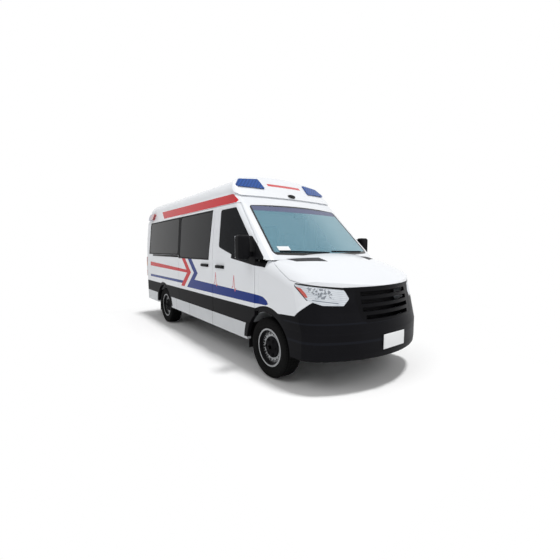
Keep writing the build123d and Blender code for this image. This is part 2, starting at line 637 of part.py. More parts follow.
# Dashboard and cab seats
DASH_BACK_X = FIREWALL_X - WALL - JOIN
DASH_PROFILE = [(1340, 960), (1296, 1180), (1352, 1296), (1470, 1328), (DASH_BACK_X, 1329), (DASH_BACK_X, 960)]
WHEEL_CENTRE = (1180.0, 430.0, 1190.0)
COLUMN_AXIS = Vector(0.80, 0, -0.60)
dash = along_y(poly(DASH_PROFILE, 18), -900, 900)
column_start = Vector(*WHEEL_CENTRE) + COLUMN_AXIS * (15 + SEAT_GAP)
dash = dash + rod(34, tuple(column_start), tuple(Vector(*WHEEL_CENTRE) + COLUMN_AXIS * 230))
save("dashboard", largest(dash))

wheel_plane = Plane(origin=WHEEL_CENTRE, x_dir=(0, 1, 0), z_dir=COLUMN_AXIS)
rim_ring = Torus(188, 16)
spokes = Cylinder(58, 30) + Box(376, 40, 14) + Pos(0, -95, 0) * Box(36, 190, 14)
save("steering_wheel", wheel_plane.location * (rim_ring + spokes))


def seat(y0, y1):
    mid = (y0 + y1) / 2
    cushion = along_y(poly([(690, 800), (690, 920), (1180, 950), (1190, 860), (1150, 800)], 30), y0, y1)
    back = along_y(poly([(560, 1560), (670, 1560), (800, 910), (660, 880)], 30), y0, y1)
    head = along_y(poly([(548, 1580), (535, 1760), (625, 1760), (650, 1580)], 26), mid - 130, mid + 130)
    stalk = along_y(poly([(585, 1540), (575, 1600), (600, 1600), (610, 1540)]), mid - 60, mid + 60)
    base = block(720, 1120, y0 + 60, y1 - 60, CAB_FLOOR_Z, 805)
    return cushion + back + head + stalk + base


save("cab_seats", seat(180, 680), seat(-420, -20) + seat(-821, -421) + block(720, 1120, -500, -340, 700, 800))

# Outside pieces
MIRROR_X0, MIRROR_X1 = 1560.0, 1690.0
mirror_head = block(MIRROR_X0, MIRROR_X1, 1034, 1192, 1388, 1680)
mirror_head = fillet(mirror_head.edges(), 38)
mirror_arm = block(1590, 1640, 930, 1060, 1420, 1480) - hull(-SEAT_GAP)
mirror_left = mirror_head + largest(mirror_arm & block(0, FAR, 900, 1200, 0, FAR))
save("mirror_left", mirror_left)
save("mirror_right", mirrored(mirror_left))

bumper_plan = poly([(REAR_X, -800), (REAR_X, 800), (REAR_BODY_X + 15, 891), (RAIL_REAR_X, 891), (RAIL_REAR_X, -891),
                    (REAR_BODY_X + 15, -891)])
save("rear_bumper", along_z(bumper_plan, 400, REAR_DOOR_BOTTOM_Z - DOOR_GAP))
tail_zone = block(-FAR, REAR_BODY_X + 70, 897, 1030, 900, 1330)
tail = (hull(-10) - roof_seat) & (tail_zone + mirrored(tail_zone))
save("tail_lamps", tail)

FLAPS = [(1470.0, 745.0, 930.0, 240.0, CAB_FLOOR_Z - FLOOR_THICK), (-2190.0, 745.0, 935.0, 180.0, FLOOR_TOP_Z - FLOOR_THICK)]
flaps = [block(x - 12, x, side * y0, side * y1, z0, z1) for x, y0, y1, z0, z1 in FLAPS for side in (1, -1)]
save("mud_flaps", *flaps)
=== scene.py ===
import math

import bmesh
import bpy
from mathutils import Matrix, Vector


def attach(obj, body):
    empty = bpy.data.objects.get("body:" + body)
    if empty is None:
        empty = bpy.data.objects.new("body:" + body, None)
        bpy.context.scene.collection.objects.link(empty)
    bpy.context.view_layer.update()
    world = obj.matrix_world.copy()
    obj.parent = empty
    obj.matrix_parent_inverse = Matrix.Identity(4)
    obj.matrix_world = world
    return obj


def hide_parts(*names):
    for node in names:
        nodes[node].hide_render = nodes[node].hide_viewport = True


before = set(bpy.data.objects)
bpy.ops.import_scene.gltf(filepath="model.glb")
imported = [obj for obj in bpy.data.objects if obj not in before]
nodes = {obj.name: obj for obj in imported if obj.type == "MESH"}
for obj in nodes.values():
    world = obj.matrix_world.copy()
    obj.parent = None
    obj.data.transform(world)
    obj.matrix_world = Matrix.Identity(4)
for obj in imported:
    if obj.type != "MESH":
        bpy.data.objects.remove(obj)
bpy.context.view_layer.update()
scene = bpy.context.scene
scene.view_settings.view_transform = "Standard"

# Places are in metres, in the row frame: +X forward, +Y to the vehicle's left, +Z up
FRONT_AXLE_X, REAR_AXLE_X = 1.935, -1.730
AXLES = (("front", FRONT_AXLE_X), ("rear", REAR_AXLE_X))
WHEEL_Y, AXLE_Z = 0.856, 0.356
SIDES = (("left", 1), ("right", -1))


def dimmed(color, share):
    return tuple(c * share for c in color)


# Colours that several finishes share
PAINT = (0.80, 0.82, 0.85)
DUSTY_PAINT = dimmed(PAINT, 0.965)
BLACK = (0.004, 0.004, 0.005)
BLUE = (0.006, 0.028, 0.20)
RED = (0.56, 0.014, 0.020)


# Shader building

def turned(points):
    """The corners in anticlockwise order."""
    area = sum(a[0] * b[1] - b[0] * a[1] for a, b in zip(points, points[1:] + points[:1]))
    return points if area > 0 else points[::-1]


class Shade:
    """One material and the small nodes that feed its shader."""

    def __init__(self, name, color, rough=0.5, metal=0.0, coat=0.0, alpha=1.0, specular=0.5):
        self.mat = bpy.data.materials.new(name)
        self.mat.use_nodes = True
        self.tree = self.mat.node_tree
        self.bsdf = self.tree.nodes["Principled BSDF"]
        self.set("Base Color", (*color, 1.0))
        self.set("Roughness", rough)
        self.set("Metallic", metal)
        self.set("Coat Weight", coat)
        self.set("Alpha", alpha)
        self.set("Specular IOR Level", specular)
        coords = self.tree.nodes.new("ShaderNodeTexCoord")
        self.place = coords.outputs["Object"]
        split = self.tree.nodes.new("ShaderNodeSeparateXYZ")
        self.tree.links.new(self.place, split.inputs[0])
        self.x, self.y, self.z = split.outputs
        facing = self.tree.nodes.new("ShaderNodeSeparateXYZ")
        self.tree.links.new(coords.outputs["Normal"], facing.inputs[0])
        self.facing_y = facing.outputs[1]

    def set(self, socket, value):
        self.bsdf.inputs[socket].default_value = value

    def math(self, op, *values):
        node = self.tree.nodes.new("ShaderNodeMath")
        node.operation = op
        for socket, value in zip(node.inputs, values):
            if isinstance(value, (int, float)):
                socket.default_value = value
            else:
                self.tree.links.new(value, socket)
        return node.outputs[0]

    def both(self, *masks):
        result = masks[0]
        for mask in masks[1:]:
            result = self.math("MULTIPLY", result, mask)
        return result

    def either(self, *masks):
        result = masks[0]
        for mask in masks[1:]:
            result = self.math("MAXIMUM", result, mask)
        return result

    def opposite(self, mask):
        return self.math("SUBTRACT", 1.0, mask)

    def above(self, value, limit):
        return self.math("GREATER_THAN", value, limit)

    def below(self, value, limit):
        return self.math("LESS_THAN", value, limit)

    def between(self, value, low, high):
        return self.both(self.above(value, low), self.below(value, high))

    def inside(self, u, v, points):
        """1 inside a convex outline."""
        points = turned(points)
        masks = []
        for (u0, v0), (u1, v1) in zip(points, points[1:] + points[:1]):
            a, b = v0 - v1, u1 - u0
            lean = self.math("MULTIPLY_ADD", u, a, -a * u0 - b * v0)
            masks.append(self.above(self.math("MULTIPLY_ADD", v, b, lean), 0.0))
        return self.both(*masks)

    def stroke(self, u, v, start, end, width):
        """1 on a straight stroke from start to end."""
        du, dv = end[0] - start[0], end[1] - start[1]
        length = math.hypot(du, dv)
        nu, nv = -dv / length * width / 2, du / length * width / 2
        corners = [(start[0] - nu, start[1] - nv), (end[0] - nu, end[1] - nv),
                   (end[0] + nu, end[1] + nv), (start[0] + nu, start[1] + nv)]
        return self.inside(u, v, corners)

    def offsets(self, u, v, centre):
        return self.math("SUBTRACT", u, centre[0]), self.math("SUBTRACT", v, centre[1])

    def length(self, u, v):
        return self.math("SQRT", self.math("ADD", self.math("MULTIPLY", u, u), self.math("MULTIPLY", v, v)))

    def near(self, u, v, centre, radius):
        """1 within a radius of a centre."""
        return self.below(self.length(*self.offsets(u, v, centre)), radius)

    def wave(self, value, rate):
        """A sine that turns by the rate, in radians, for each unit of the value."""
        return self.math("SINE", self.math("MULTIPLY", value, rate))

    def noise(self, scale, detail=3.0):
        node = self.tree.nodes.new("ShaderNodeTexNoise")
        node.inputs["Scale"].default_value = scale
        node.inputs["Detail"].default_value = detail
        self.tree.links.new(self.place, node.inputs["Vector"])
        return node.outputs["Fac"]

    def ramp(self, value, start, end):
        """A smooth rise from 0 at the start to 1 at the end."""
        node = self.tree.nodes.new("ShaderNodeMapRange")
        node.interpolation_type = "SMOOTHSTEP"
        node.inputs["From Min"].default_value = start
        node.inputs["From Max"].default_value = end
        self.tree.links.new(value, node.inputs["Value"])
        return node.outputs[0]

    def span(self, value, low, high):
        """A 0 to 1 value brought to a range."""
        return self.math("MULTIPLY_ADD", value, high - low, low)

    def mix(self, mask, a, b):
        node = self.tree.nodes.new("ShaderNodeMix")
        node.data_type = "RGBA"
        for socket, value in ((node.inputs[0], mask), (node.inputs[6], a), (node.inputs[7], b)):
            if isinstance(value, tuple):
                socket.default_value = (*value, 1.0)
            else:
                self.tree.links.new(value, socket)
        return node.outputs[2]

    def feed(self, socket, value):
        self.tree.links.new(value, self.bsdf.inputs[socket])

    def bump(self, height, strength, distance):
        node = self.tree.nodes.new("ShaderNodeBump")
        node.inputs["Strength"].default_value = strength
        node.inputs["Distance"].default_value = distance
        self.tree.links.new(height, node.inputs["Height"])
        self.tree.links.new(node.outputs[0], self.bsdf.inputs["Normal"])


def grained(name, color, rough, spread, grain, strength, **extra):
    """A plain finish with a little wear in its colour and a fine grain."""
    shade = Shade(name, color, rough, **extra)
    cloud = shade.noise(scale=3.0)
    light = tuple(min(1.0, c * (1 + spread) + 0.002) for c in color)
    shade.feed("Base Color", shade.mix(cloud, dimmed(color, 1 - spread), light))
    shade.bump(shade.noise(grain, detail=2.0), strength, distance=0.0006)
    return shade.mat


# Where paint belongs to a side, to its outer skin, and to a face that doesn't look inwards
SIDE_Y, SKIRT_Y, OUTWARD = 0.80, 0.93, -0.05

# Dust from the road, which thins out upwards
ROAD_DUST = (0.36, 0.36, 0.37)
DUST_THINNING, DUST_SOFTNESS, DUST_SHARE = 1.35, 0.2, (0.2, 0.7)

# Livery of the sides: corners in X and Z
ROOF_STRIPE = [(-1.80, 2.128), (1.150, 2.128), (1.160, 2.160), (1.045, 2.250), (0.98, 2.262), (-2.05, 2.284)]
RED_LINE = [(-2.62, 1.145), (-0.42, 1.105), (-0.30, 1.150), (-2.62, 1.235)]
LOWER_LINE = [(-2.62, 0.905), (-0.62, 0.905), (-0.50, 0.955), (-2.62, 0.955)]
BLUE_BAND = [(-0.288, 0.856), (1.92, 0.860), (1.966, 0.880), (1.94, 0.918), (1.86, 0.955), (1.70, 0.972),
             (-0.262, 1.010)]
STRIPES = ((RED, ROOF_STRIPE), (RED, RED_LINE), (BLUE, LOWER_LINE), (BLUE, BLUE_BAND))
CHEVRONS = [
    (RED, [(-0.70, 1.36), (-0.54, 1.36), (-0.26, 1.12), (-0.42, 1.12)],
     [(-0.728, 0.856), (-0.568, 0.856), (-0.26, 1.12), (-0.42, 1.12)]),
    (BLUE, [(-0.42, 1.36), (-0.26, 1.36), (0.02, 1.12), (-0.14, 1.12)],
     [(-0.448, 0.856), (-0.288, 0.856), (0.02, 1.12), (-0.14, 1.12)]),
]
PULSES = [
    [(0.610, 1.000), (0.640, 1.030), (0.662, 1.175), (0.690, 0.975), (0.720, 1.010)],
    [(1.150, 0.990), (1.180, 1.020), (1.202, 1.165), (1.230, 0.955), (1.262, 1.000)],
]
PULSE_WIDTH, PULSE_RED = 0.014, (0.60, 0.16, 0.18)

# Black borders of the side windows, and the black corner below and ahead of the door's glass
SIDE_FRITS = [
    [(-2.722, 1.402), (-0.84, 1.402), (-0.84, 2.088), (-2.662, 2.084)],
    [(-0.86, 1.346), (0.422, 1.346), (0.502, 2.088), (-0.86, 2.088)],
    [(1.11, 1.390), (1.70, 1.314), (1.893, 1.298), (1.893, 1.340), (1.862, 1.420), (1.712, 1.571),
     (1.60, 1.672), (1.20, 1.70)],
]

# Black trim along the sides and round the wheel arches, and the sill, whose white paint is painted grey as
# painted shade, with its seams
BAND_Z = (0.579, 0.803)
FRONT_FLARE_R, REAR_FLARE_R, FLARE_LOW_Z = 0.495, 0.478, 0.40
SILL_SHADE_DARK, SILL_SHADE_LIGHT = (0.50, 0.52, 0.54), (0.64, 0.66, 0.68)
SILL_SEAMS, SEAM_HALF, SEAM_GREY = (0.52, -0.38, -1.02), 0.003, (0.08, 0.08, 0.085)

# Vents on the bonnet, with lighter slats and dark slots painted as their light and shade: corners in X and in
# Y to either side
VENT = [(2.002, 0.755), (2.165, 0.384), (2.322, 0.379), (2.146, 0.711)]
VENT_LOW_Z, SLAT_RATE = 1.3, 420.0
VENT_SLOT_SHADE, VENT_SLAT_LIT = (0.02, 0.02, 0.022), (0.11, 0.11, 0.12)

GLOSSY_ROUGH, MATT_ROUGH = 0.2, 0.6


def body_paint():
    """White paint with dust, livery, window borders, black trim, painted shade on the grey sill and the
    bonnet's vents, whose slats carry painted light and shade.
    """
    shade = Shade("white_body_paint", PAINT, rough=0.22, specular=0.12)
    x, z = shade.x, shade.z
    y = shade.math("ABSOLUTE", shade.y)
    side = shade.above(y, SIDE_Y)
    outside = shade.both(side, shade.above(shade.math("MULTIPLY", shade.facing_y, shade.y), OUTWARD))

    cloud = shade.noise(scale=2.2)
    colour = shade.mix(cloud, DUSTY_PAINT, PAINT)
    height = shade.math("SMOOTH_MIN", shade.math("MULTIPLY", z, DUST_THINNING), 1.0, DUST_SOFTNESS)
    dust = shade.both(shade.opposite(height), shade.span(cloud, *DUST_SHARE))
    colour = shade.mix(dust, colour, ROAD_DUST)

    for tone, points in STRIPES:
        colour = shade.mix(shade.both(outside, shade.inside(x, z, points)), colour, tone)
    for tone, upper, lower in CHEVRONS:
        arms = shade.either(shade.inside(x, z, upper), shade.inside(x, z, lower))
        colour = shade.mix(shade.both(outside, arms), colour, tone)
    strokes = [shade.stroke(x, z, a, b, PULSE_WIDTH) for pulse in PULSES for a, b in zip(pulse, pulse[1:])]
    colour = shade.mix(shade.both(outside, shade.either(*strokes)), colour, PULSE_RED)

    borders = [shade.inside(x, z, points) for points in SIDE_FRITS]
    frit = shade.both(side, shade.either(*borders))
    colour = shade.mix(frit, colour, BLACK)

    skirt = shade.above(y, SKIRT_Y)
    sill = shade.both(skirt, shade.below(z, BAND_Z[0]))
    # The white sill is painted grey: painted shade, varied at random by the cloud
    colour = shade.mix(sill, colour, shade.mix(cloud, SILL_SHADE_DARK, SILL_SHADE_LIGHT))
    flares = shade.either(shade.near(x, z, (FRONT_AXLE_X, AXLE_Z), FRONT_FLARE_R),
                          shade.near(x, z, (REAR_AXLE_X, AXLE_Z), REAR_FLARE_R))
    band = shade.either(shade.between(z, *BAND_Z), shade.both(flares, shade.above(z, FLARE_LOW_Z)))
    trim = shade.both(skirt, band)
    colour = shade.mix(trim, colour, BLACK)
    seams = [shade.between(x, at - SEAM_HALF, at + SEAM_HALF) for at in SILL_SEAMS]
    colour = shade.mix(shade.both(sill, shade.either(*seams)), colour, SEAM_GREY)

    vent = shade.both(shade.inside(x, y, VENT), shade.above(z, VENT_LOW_Z))
    # The slats are painted lighter and the slots darker: painted light and shade
    slat_light_and_shade = shade.mix(shade.wave(x, SLAT_RATE), VENT_SLOT_SHADE, VENT_SLAT_LIT)
    colour = shade.mix(vent, colour, slat_light_and_shade)
    shade.feed("Base Color", colour)
    shade.feed("Roughness", shade.span(shade.either(trim, vent, frit), GLOSSY_ROUGH, MATT_ROUGH))
    return shade.mat


# The red bar on the front of the roof fairing
FAIRING_BAR_Y, FAIRING_BAR_Z = 0.31, (2.425, 2.465)


def fairing_paint():
    shade = Shade("white_fairing_paint", PAINT, rough=0.25, coat=0.5)
    y = shade.math("ABSOLUTE", shade.y)
    colour = shade.mix(shade.noise(scale=2.0), DUSTY_PAINT, PAINT)
    bar = shade.both(shade.below(y, FAIRING_BAR_Y), shade.between(shade.z, *FAIRING_BAR_Z))
    shade.feed("Base Color", shade.mix(bar, colour, RED))
    return shade.mat


# Painted highlights along the bumper's two ridges: extents in Z, in front of a given X
RIDGE_HIGHLIGHT_BANDS, HIGHLIGHT_FROM_X = ((0.545, 0.572), (0.742, 0.760)), 2.25
BUMPER_WORN, RIDGE_HIGHLIGHT_TONE = (0.008, 0.008, 0.010), (0.010, 0.011, 0.015)
RIDGE_RATE, RIDGE_START, BUMPER_GRAIN = 5.0, -0.3, 0.02


def bumper_look():
    """Black plastic with the two soft ridges that run round the bumper, lighter along their lines as painted
    highlights.
    """
    shade = Shade("bumper_plastic", BLACK, rough=0.42, specular=0.05)
    ridge_highlight = shade.either(*[shade.between(shade.z, *extent) for extent in RIDGE_HIGHLIGHT_BANDS])
    colour = shade.mix(shade.noise(scale=3.0), BLACK, BUMPER_WORN)
    # The lighter lines along the ridges are painted highlights
    colour = shade.mix(shade.both(ridge_highlight, shade.above(shade.x, HIGHLIGHT_FROM_X)), colour, RIDGE_HIGHLIGHT_TONE)
    shade.feed("Base Color", colour)
    folds = shade.math("PINGPONG", shade.math("MULTIPLY_ADD", shade.z, RIDGE_RATE, RIDGE_START), 0.5)
    grain = shade.math("MULTIPLY", shade.noise(scale=500.0, detail=2.0), BUMPER_GRAIN)
    shade.bump(shade.math("ADD", folds, grain), strength=0.5, distance=0.02)
    return shade.mat


# The headlamp's lens, seen along its own aim: corners across the lens and in Z
LENS_ACROSS = (0.6606, -0.7507)
LENS_FACE = [(0.862, 1.151), (1.376, 1.0895), (1.450, 1.000), (1.376, 0.920), (1.157, 0.930), (1.008, 0.985)]
LENS_CORE = [(0.985, 1.125), (1.220, 1.100), (1.295, 0.992), (1.060, 1.012)]
LENS_MARKER = [(0.884, 1.126), (0.935, 1.112), (0.985, 1.060), (1.005, 1.020), (0.978, 1.020)]
LENS_CREASE, CREASE_WIDTH = ((1.050, 0.994), (1.320, 0.958)), 0.009
LENS_DARK, LENS_BRIGHT = (0.50, 0.54, 0.59), (0.80, 0.83, 0.87)
FLUTE_RISE, FLUTE_RATE, FLUTE_FROM, FLUTE_SHARE, FLUTE_TONE = 0.13, 330.0, 0.6, 0.30, (0.20, 0.24, 0.29)
FACET_FROM, FACET_SHARE, FACET_TONE = 0.53, 0.8, (0.12, 0.14, 0.17)
CREASE_SHADE, MARKER_TONE = (0.20, 0.23, 0.27), (0.55, 0.10, 0.08)


def headlamp_look():
    """A bright, fluted reflector with dark facets, painted shade along a crease, a marker at its outer end
    and a black border on top.
    """
    shade = Shade("headlamp_lens", (0.62, 0.65, 0.70), rough=0.08, specular=0.35)
    z = shade.z
    inward = shade.math("MULTIPLY", shade.math("ABSOLUTE", shade.y), LENS_ACROSS[1])
    across = shade.math("MULTIPLY_ADD", shade.x, LENS_ACROSS[0], inward)
    colour = shade.mix(shade.noise(scale=14.0), LENS_DARK, LENS_BRIGHT)
    rise = shade.math("MULTIPLY_ADD", across, FLUTE_RISE, z)
    flutes = shade.above(shade.wave(rise, FLUTE_RATE), FLUTE_FROM)
    colour = shade.mix(shade.math("MULTIPLY", flutes, FLUTE_SHARE), colour, FLUTE_TONE)
    facets = shade.both(shade.inside(across, z, LENS_CORE), shade.above(shade.noise(scale=42.0), FACET_FROM))
    colour = shade.mix(shade.math("MULTIPLY", facets, FACET_SHARE), colour, FACET_TONE)
    # The crease is drawn darker: painted shade
    colour = shade.mix(shade.stroke(across, z, *LENS_CREASE, CREASE_WIDTH), colour, CREASE_SHADE)
    colour = shade.mix(shade.inside(across, z, LENS_MARKER), colour, MARKER_TONE)
    colour = shade.mix(shade.opposite(shade.inside(across, z, LENS_FACE)), colour, BLACK)
    shade.feed("Base Color", colour)
    return shade.mat


# The windscreen's tints, a painted reflection that makes it paler towards the vehicle's left, its shaded top
# and its black border: slope and limit of each edge
TINT_DARK, TINT_LIGHT, PAINTED_REFLECTION_TINT = (0.19, 0.41, 0.53), (0.25, 0.50, 0.61), (0.34, 0.56, 0.65)
REFLECTION_FROM_Y, REFLECTION_TO_Y, REFLECTION_ALPHA = -0.25, 0.55, (0.40, 0.54)
SHADED_Z, SHADED_TONE, SHADED_ALPHA = 2.020, (0.13, 0.15, 0.27), 0.70
SCREEN_FOOT, SCREEN_EDGE, SCREEN_TOP = (-0.03, 1.452), (0.102, 0.981), (0.012, 2.096)


def screen_glass():
    """Tinted glass with a painted reflection that makes it paler and less clear on the vehicle's left, with a
    shaded top and a black border.
    """
    shade = Shade("windscreen_glass", (0.13, 0.30, 0.39), rough=0.03, specular=0.5)
    z = shade.z
    y = shade.math("ABSOLUTE", shade.y)
    shaded = shade.above(z, SHADED_Z)
    # Painted reflection: the glass grows paler and more solid towards the vehicle's left
    painted_reflection = shade.ramp(shade.y, REFLECTION_FROM_Y, REFLECTION_TO_Y)
    colour = shade.mix(shade.noise(scale=1.1), TINT_DARK, TINT_LIGHT)
    colour = shade.mix(painted_reflection, colour, PAINTED_REFLECTION_TINT)
    colour = shade.mix(shaded, colour, SHADED_TONE)
    foot = shade.below(shade.math("MULTIPLY_ADD", y, SCREEN_FOOT[0], z), SCREEN_FOOT[1])
    edge = shade.above(shade.math("MULTIPLY_ADD", z, SCREEN_EDGE[0], y), SCREEN_EDGE[1])
    top = shade.above(shade.math("MULTIPLY_ADD", y, SCREEN_TOP[0], z), SCREEN_TOP[1])
    frit = shade.either(foot, edge, top)
    shade.feed("Base Color", shade.mix(frit, colour, BLACK))
    solid = shade.either(frit, shade.span(shaded, 0.0, SHADED_ALPHA), shade.span(painted_reflection, *REFLECTION_ALPHA))
    shade.feed("Alpha", solid)
    return shade.mat


DARK_GLASS, DARK_GLASS_RANGE = (0.006, 0.007, 0.009), ((0.003, 0.003, 0.004), (0.012, 0.014, 0.017))


def dark_glass(name, alpha, specular):
    shade = Shade(name, DARK_GLASS, rough=0.03, alpha=alpha, specular=specular)
    shade.feed("Base Color", shade.mix(shade.noise(scale=1.6), *DARK_GLASS_RANGE))
    return shade.mat


# Tread beyond a radius, cut by grooves round the tyre and by leaning sipes, which are darkened as painted
# shade, and ringed walls below it
TREAD_FROM_R = 0.338
GROOVE_RATE, GROOVE_FROM = 150.0, 0.75
SIPES, SIPE_LEAN, SIPE_FROM = 64.0, 30.0, 0.72
WALL_RATE, WALL_HEIGHT = 520.0, (0.45, 0.55)
RUBBER, RUBBER_DARK, RUBBER_WORN = (0.006, 0.006, 0.006), (0.004, 0.004, 0.004), (0.010, 0.010, 0.010)
CUT_SHADE = (0.002, 0.002, 0.002)


def tyre_look(name, x, side):
    shade = Shade(name, RUBBER, rough=0.9, specular=0.06)
    dx, dz = shade.offsets(shade.x, shade.z, (x, AXLE_Z))
    dy = shade.math("SUBTRACT", shade.y, side * WHEEL_Y)
    radius = shade.length(dx, dz)
    angle = shade.math("ARCTAN2", dz, dx)
    groove = shade.above(shade.math("COSINE", shade.math("MULTIPLY", dy, GROOVE_RATE)), GROOVE_FROM)
    lean = shade.math("MULTIPLY_ADD", dy, SIPE_LEAN, shade.math("MULTIPLY", angle, SIPES))
    sipe = shade.above(shade.math("SINE", lean), SIPE_FROM)
    cuts = shade.either(groove, sipe)
    tread = shade.above(radius, TREAD_FROM_R)
    wall = shade.both(shade.opposite(tread), shade.span(shade.wave(radius, WALL_RATE), *WALL_HEIGHT))
    height = shade.math("ADD", shade.both(tread, shade.opposite(cuts)), wall)
    shade.bump(height, strength=0.9, distance=0.006)
    worn = shade.mix(shade.noise(scale=30.0), RUBBER_DARK, RUBBER_WORN)
    # The grooves and sipes are darkened: painted shade
    shade.feed("Base Color", shade.mix(shade.both(tread, cuts), worn, CUT_SHADE))
    return shade.mat


# Bright parts of a rim: a ring, a toothed ring up to a radius and the lip beyond another; the rest is painted
# shade, near black
RIM_RING, TEETH_TO_R, LIP_FROM_R = (0.124, 0.146), 0.178, 0.207
TEETH, TEETH_FROM = 16.0, -0.2
SILVER, SILVER_DARK, SILVER_LIGHT = (0.30, 0.31, 0.32), (0.26, 0.27, 0.28), (0.40, 0.41, 0.42)
WELL_SHADE = (0.012, 0.012, 0.013)


def rim_look(name, x):
    shade = Shade(name, SILVER, rough=0.35, metal=0.3)
    dx, dz = shade.offsets(shade.x, shade.z, (x, AXLE_Z))
    radius = shade.length(dx, dz)
    angle = shade.math("ARCTAN2", dz, dx)
    teeth = shade.above(shade.math("COSINE", shade.math("MULTIPLY", angle, TEETH)), TEETH_FROM)
    toothed = shade.both(teeth, shade.below(radius, TEETH_TO_R))
    bright = shade.either(shade.between(radius, *RIM_RING), shade.above(radius, LIP_FROM_R), toothed)
    silver = shade.mix(shade.noise(scale=14.0), SILVER_DARK, SILVER_LIGHT)
    # All but the bright parts is painted near black: painted shade in the well and between the teeth
    shade.feed("Base Color", shade.mix(shade.opposite(bright), silver, WELL_SHADE))
    return shade.mat


BEACON_BLUE, BEACON_RATE, BEACON_SHADE = (0.030, 0.110, 0.42), 130.0, 0.35


def front_beacon_look():
    """Blue plastic with a grid of small cells."""
    shade = Shade("blue_beacon_lens", BEACON_BLUE, rough=0.1, specular=0.12)
    cells = shade.both(shade.wave(shade.y, BEACON_RATE), shade.wave(shade.z, BEACON_RATE))
    dark = dimmed(BEACON_BLUE, BEACON_SHADE)
    shade.feed("Base Color", shade.mix(shade.span(cells, 0.5, 1.0), dark, BEACON_BLUE))
    return shade.mat


# The rear beacons are red in front of a given X and blue behind it
REAR_BEACON_SPLIT_X, REAR_BEACON_RATE = -2.615, 300.0
REAR_BEACON_RED, REAR_BEACON_BLUE = (0.40, 0.012, 0.02), (0.03, 0.05, 0.22)
REAR_BEACON_DARK = (0.01, 0.01, 0.01)


def rear_beacon_look():
    shade = Shade("rear_beacon_lens", REAR_BEACON_RED, rough=0.08, coat=1.0)
    ribs = shade.span(shade.wave(shade.x, REAR_BEACON_RATE), 0.75, 1.0)
    colour = shade.mix(shade.below(shade.x, REAR_BEACON_SPLIT_X), REAR_BEACON_RED, REAR_BEACON_BLUE)
    shade.feed("Base Color", shade.mix(ribs, REAR_BEACON_DARK, colour))
    return shade.mat


# The tail lamps' red lens, with a clear and an amber field between two heights each
TAIL_RED, TAIL_DARK, TAIL_RATE = (0.42, 0.012, 0.016), (0.05, 0.0, 0.0), 420.0
TAIL_CLEAR_Z, TAIL_CLEAR = (1.03, 1.13), (0.75, 0.76, 0.78)
TAIL_AMBER_Z, TAIL_AMBER = (1.13, 1.22), (0.75, 0.27, 0.02)


def tail_look():
    shade = Shade("tail_lamp_lens", TAIL_RED, rough=0.1, coat=1.0)
    ribs = shade.span(shade.wave(shade.z, TAIL_RATE), 0.8, 1.0)
    colour = shade.mix(shade.between(shade.z, *TAIL_CLEAR_Z), TAIL_RED, TAIL_CLEAR)
    colour = shade.mix(shade.between(shade.z, *TAIL_AMBER_Z), colour, TAIL_AMBER)
    shade.feed("Base Color", shade.mix(ribs, TAIL_DARK, colour))
    return shade.mat


# Plain finishes: name, colour, roughness, spread of the colour, scale of the grain and its strength
paint = body_paint()
black_plastic = grained("black_plastic", (0.006, 0.006, 0.007), 0.45, 0.3, 500.0, 0.25, specular=0.05)
gloss_black = grained("gloss_black", (0.005, 0.005, 0.006), 0.3, 0.2, 60.0, 0.02, specular=0.04)
rubber = grained("black_rubber", (0.007, 0.007, 0.007), 0.8, 0.3, 300.0, 0.2, specular=0.1)
chassis = grained("chassis_black", (0.009, 0.009, 0.010), 0.6, 0.4, 120.0, 0.2, specular=0.08)
alloy = grained("cast_alloy", (0.30, 0.31, 0.32), 0.45, 0.2, 90.0, 0.25, metal=0.8)
steel = grained("dull_steel", (0.28, 0.27, 0.26), 0.42, 0.25, 80.0, 0.1, metal=0.9)
vinyl = grained("grey_vinyl", (0.22, 0.23, 0.24), 0.6, 0.2, 250.0, 0.2)
lining = grained("light_lining", (0.62, 0.63, 0.63), 0.5, 0.06, 200.0, 0.1)
dash_plastic = grained("dash_plastic", (0.045, 0.046, 0.048), 0.6, 0.2, 350.0, 0.25)
fabric = grained("seat_fabric", (0.48, 0.49, 0.45), 0.9, 0.2, 700.0, 0.5)
plate_white = grained("plate_white", (0.80, 0.81, 0.82), 0.4, 0.03, 90.0, 0.02)
mirror_glass = grained("mirror_glass", (0.72, 0.75, 0.78), 0.03, 0.03, 20.0, 0.0, metal=1.0)
privacy = dark_glass("privacy_glass", alpha=0.94, specular=0.10)
door_glass = dark_glass("door_glass", alpha=0.94, specular=0.03)

LOOKS = {
    paint: ["side_panel_left", "side_panel_right", "sliding_door", "roof_panel", "cab_frame",
            "front_door_left", "front_door_right", "rear_door_left", "rear_door_right", "bonnet",
            "fender_left", "fender_right"],
    fairing_paint(): ["roof_fairing"],
    bumper_look(): ["front_bumper"],
    black_plastic: ["rear_bumper", "mirror_left", "mirror_right", "fuel_tank"],
    gloss_black: ["roof_camera", "grille"],
    privacy: ["side_glass_left", "side_glass_right", "sliding_door_glass", "rear_door_glass_left",
              "rear_door_glass_right"],
    door_glass: ["front_door_glass_left", "front_door_glass_right"],
    screen_glass(): ["windscreen"],
    headlamp_look(): ["headlamp_left", "headlamp_right"],
    front_beacon_look(): ["front_beacons"],
    rear_beacon_look(): ["rear_beacons"],
    tail_look(): ["tail_lamps"],
    vinyl: ["floor"],
    lining: ["partition"],
    chassis: ["chassis_frame", "front_suspension", "rear_axle", "leaf_springs", "propeller_shaft",
              "knuckle_left", "knuckle_right", "engine_mounts", "radiator"],
    alloy: ["engine"],
    steel: ["exhaust"],
    dash_plastic: ["dashboard", "steering_wheel"],
    fabric: ["cab_seats"],
    rubber: ["mud_flaps"],
}


def dress(name, look):
    nodes[name].data.materials.clear()
    nodes[name].data.materials.append(look)


